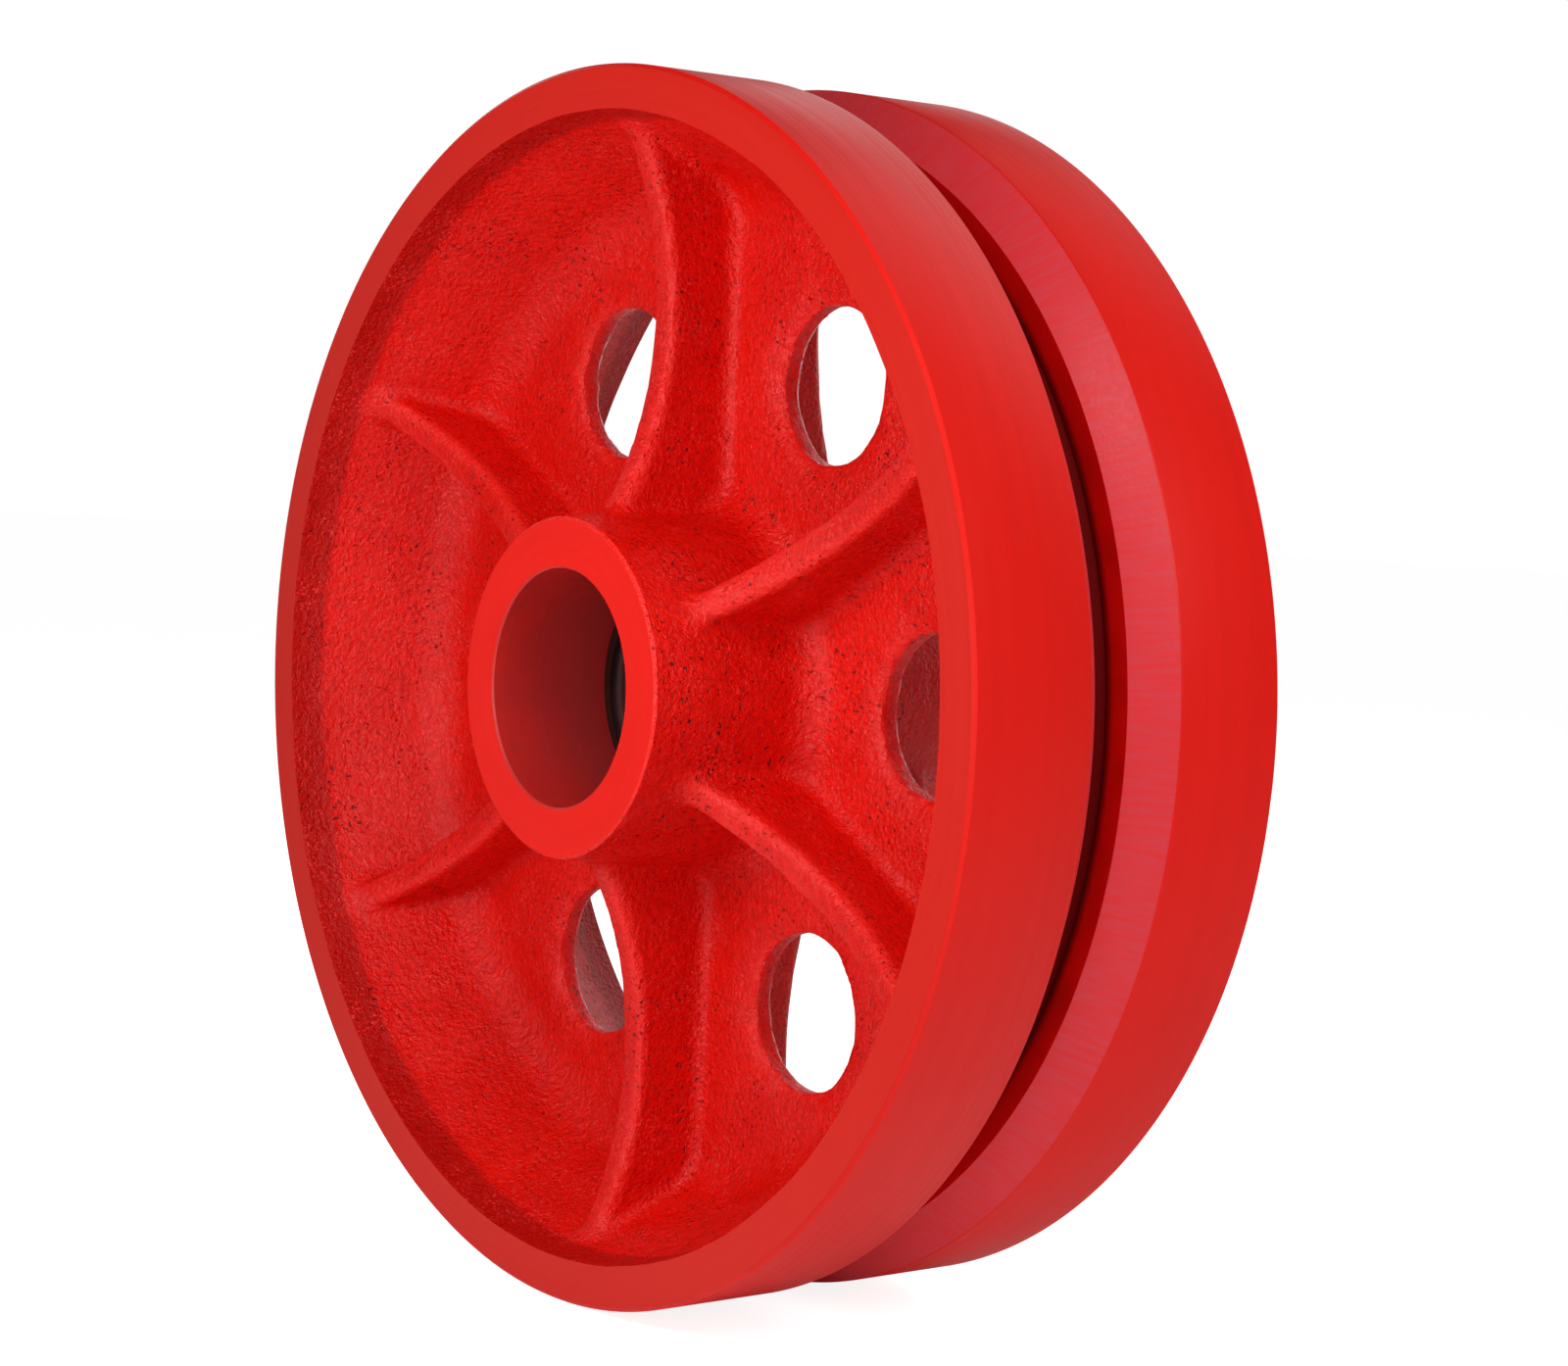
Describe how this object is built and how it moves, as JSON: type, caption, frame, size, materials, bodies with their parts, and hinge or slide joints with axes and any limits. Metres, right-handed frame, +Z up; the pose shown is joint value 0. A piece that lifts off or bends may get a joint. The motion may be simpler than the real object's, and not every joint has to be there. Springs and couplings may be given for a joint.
{
  "type": "v-groove wheel",
  "caption": "Cast iron V-groove wheel with ribbed web, round web openings and sealed ball bearings held in a plain hub bore.",
  "frame": {"origin": "centre of the wheel, on its axle line, midway between the hub faces", "axes": "+Y along the axle to the rear face, -Y is the front face, +Z up through one rib, +X to the right seen from the front"},
  "size_m": [0.254, 0.0826, 0.254],
  "materials": {
    "red_paint": "satin red enamel over rough cast and fine-turned iron",
    "bearing_steel": "ground bearing steel",
    "ball_steel": "polished bearing steel",
    "cage_steel": "pressed steel strip",
    "rivet_steel": "upset steel",
    "seal_rubber": "matte black nitrile",
    "ring_steel": "black phosphated spring steel"
  },
  "bodies": {
    "inner_races": {"front_inner_race": "bearing_steel", "rear_inner_race": "bearing_steel"},
    "wheel": {"wheel_casting": "red_paint", "front_outer_race": "bearing_steel", "front_outer_seal": "seal_rubber", "front_inner_seal": "seal_rubber", "front_retaining_ring": "ring_steel", "rear_outer_race": "bearing_steel", "rear_outer_seal": "seal_rubber", "rear_inner_seal": "seal_rubber", "rear_retaining_ring": "ring_steel"},
    "front_cage": {"front_balls": "ball_steel", "front_cage_outer_half": "cage_steel", "front_cage_inner_half": "cage_steel", "front_cage_rivets": "rivet_steel"},
    "rear_cage": {"rear_balls": "ball_steel", "rear_cage_outer_half": "cage_steel", "rear_cage_inner_half": "cage_steel", "rear_cage_rivets": "rivet_steel"}
  },
  "joints": [
    {"name": "wheel_spin", "type": "hinge", "parent": "inner_races", "child": "wheel", "pos_m": [0, 0, 0], "axis": [0, 1, 0], "continuous": true},
    {"name": "front_cage_spin", "type": "hinge", "parent": "inner_races", "child": "front_cage", "pos_m": [0, -0.00556, 0], "axis": [0, 1, 0], "continuous": true},
    {"name": "rear_cage_spin", "type": "hinge", "parent": "inner_races", "child": "rear_cage", "pos_m": [0, 0.00556, 0], "axis": [0, 1, 0], "continuous": true}
  ],
  "couplings": [
    {"joint": "front_cage_spin", "follows": "wheel_spin", "ratio": 0.59574},
    {"joint": "rear_cage_spin", "follows": "wheel_spin", "ratio": 0.59574}
  ]
}
